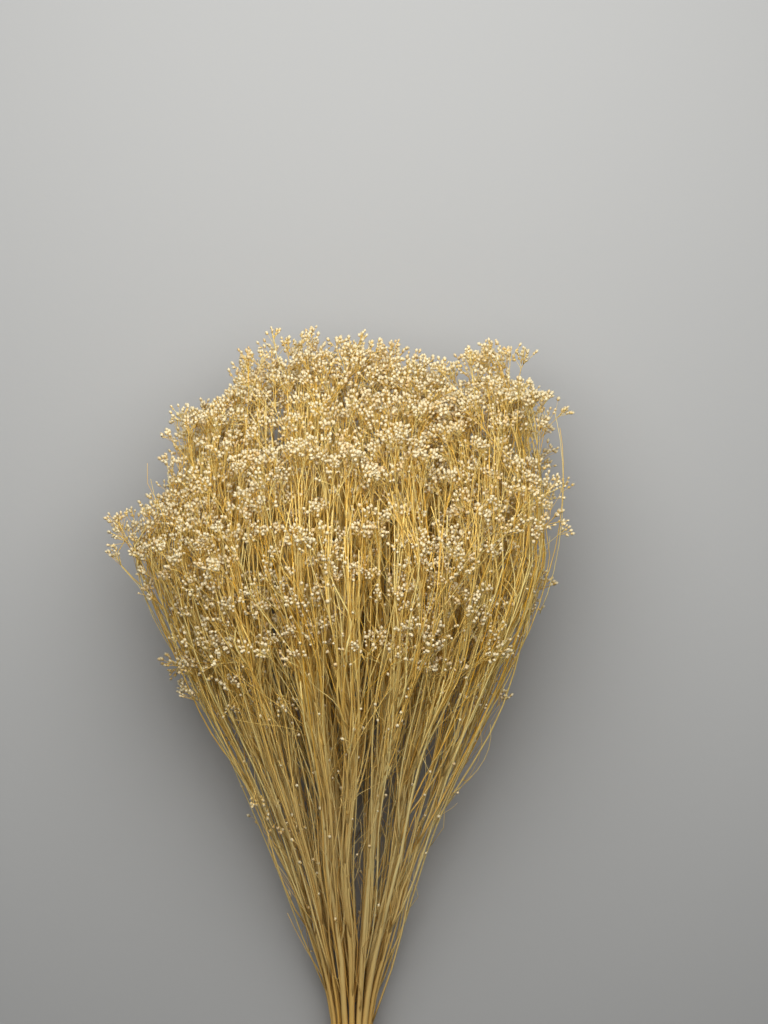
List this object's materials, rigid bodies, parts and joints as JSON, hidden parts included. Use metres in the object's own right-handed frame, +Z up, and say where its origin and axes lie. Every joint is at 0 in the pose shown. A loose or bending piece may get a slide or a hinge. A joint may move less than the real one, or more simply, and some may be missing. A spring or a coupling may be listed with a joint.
{
  "type": "bundle of broom bloom",
  "caption": "Dried broom bloom lying on its side: thin branching straw stems held by an elastic tie fan out to a dense domed head of small cream buds.",
  "frame": {"origin": "centre of the underside of the bounding box, on the surface that the bundle lies on", "axes": "+Y from the cut stem ends to the heads, +Z up from the surface, +X to the right when seen from above with the heads away from the viewer"},
  "size_m": [0.2487, 0.4996, 0.1635],
  "materials": {
    "straw": "dried plant stem, matt, finely grooved lengthwise",
    "buds": "dried bud husks, matt, thin and papery",
    "tie": "natural rubber band, dull sheen"
  },
  "bodies": {
    "root": {"spray_00": "straw", "spray_01": "straw", "spray_02": "straw", "spray_03": "straw", "spray_04": "straw", "spray_05": "straw", "spray_06": "straw", "spray_07": "straw", "spray_08": "straw", "spray_09": "straw", "spray_10": "straw", "spray_11": "straw", "spray_12": "straw", "spray_13": "straw", "spray_14": "straw", "spray_15": "straw", "spray_16": "straw", "spray_17": "straw", "spray_18": "straw", "spray_19": "straw", "spray_20": "straw", "spray_21": "straw", "spray_22": "straw", "spray_23": "straw", "spray_24": "straw", "spray_25": "straw", "spray_26": "straw", "spray_27": "straw", "spray_28": "straw", "spray_29": "straw", "spray_30": "straw", "spray_31": "straw", "spray_32": "straw", "spray_33": "straw", "spray_34": "straw", "spray_35": "straw", "spray_36": "straw", "tie": "tie"}
  },
  "joints": []
}
